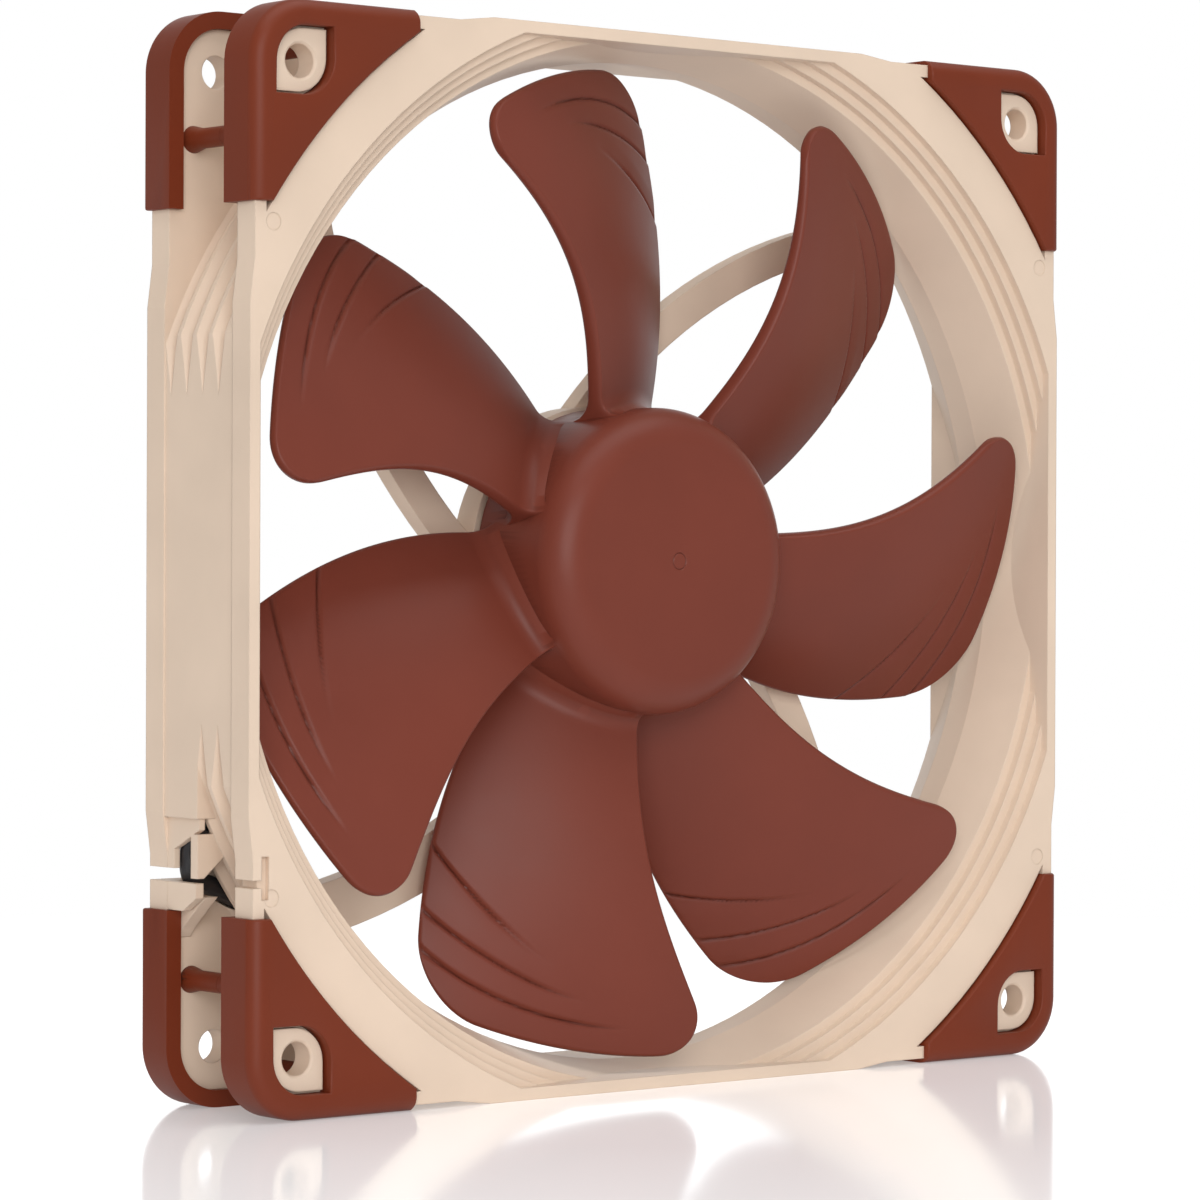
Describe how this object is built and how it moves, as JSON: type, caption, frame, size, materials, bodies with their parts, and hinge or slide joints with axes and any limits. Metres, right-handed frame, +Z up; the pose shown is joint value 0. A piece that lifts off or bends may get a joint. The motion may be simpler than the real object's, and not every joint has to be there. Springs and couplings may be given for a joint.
{
  "type": "case fan",
  "caption": "Square axial case fan with a stepped-inlet frame, curved-blade impeller, soft corner pads, mounting holes at the corners and the full motor inside.",
  "frame": {"origin": "centre of the fan's box, on the impeller's axis and midway between the front and rear pad faces", "axes": "the impeller turns about Y, the air intake faces -Y and the outlet +Y, +Z is up and +X is to the right seen from the intake"},
  "size_m": [0.14, 0.025, 0.14],
  "materials": {
    "frame_plastic": "satin moulded beige plastic",
    "impeller_plastic": "satin moulded brown plastic",
    "pad_rubber": "smooth red-brown silicone rubber",
    "yoke_steel": "zinc-plated deep-drawn steel",
    "magnet": "bonded ferrite, matt",
    "brass": "turned brass",
    "shaft_steel": "ground steel",
    "bush_bronze": "sintered bronze",
    "seal_rubber": "matt black rubber",
    "white_plastic": "white engineering plastic",
    "core_steel": "stacked electrical steel",
    "copper_wire": "enamelled copper wire",
    "board_laminate": "green solder mask",
    "chip_black": "moulded black epoxy",
    "ceramic": "ceramic chip",
    "tinned_metal": "tinned wire",
    "lead_black": "black wire insulation",
    "lead_yellow": "yellow wire insulation",
    "lead_green": "green wire insulation",
    "lead_blue": "blue wire insulation",
    "sleeve": "black cable sleeve",
    "label_film": "blank printed film"
  },
  "bodies": {
    "housing": {"frame": "frame_plastic", "front_pad_top_right": "pad_rubber", "front_pad_top_left": "pad_rubber", "front_pad_bottom_left": "pad_rubber", "front_pad_bottom_right": "pad_rubber", "rear_pad_top_right": "pad_rubber", "rear_pad_top_left": "pad_rubber", "rear_pad_bottom_left": "pad_rubber", "rear_pad_bottom_right": "pad_rubber", "bearing_housing": "brass", "bearing_bush": "bush_bronze", "oil_seal": "seal_rubber", "stabilising_magnet": "magnet", "thrust_plate": "white_plastic", "stator_core": "core_steel", "upper_insulator": "white_plastic", "lower_insulator": "white_plastic", "stator_coils": "copper_wire", "circuit_board": "board_laminate", "driver_chip": "chip_black", "hall_sensor": "chip_black", "capacitors": "ceramic", "terminal_pins": "tinned_metal", "ground_lead": "lead_black", "power_lead": "lead_yellow", "speed_lead": "lead_green", "control_lead": "lead_blue", "cable_sleeve": "sleeve", "back_label": "label_film"},
    "rotor": {"impeller": "impeller_plastic", "rotor_yoke": "yoke_steel", "magnet_ring": "magnet", "rotor_boss": "brass", "shaft": "shaft_steel", "retaining_clip": "white_plastic"}
  },
  "joints": [
    {"name": "impeller_spin", "type": "hinge", "parent": "housing", "child": "rotor", "pos_m": [0, 0, 0], "axis": [0, -1, 0], "continuous": true}
  ]
}
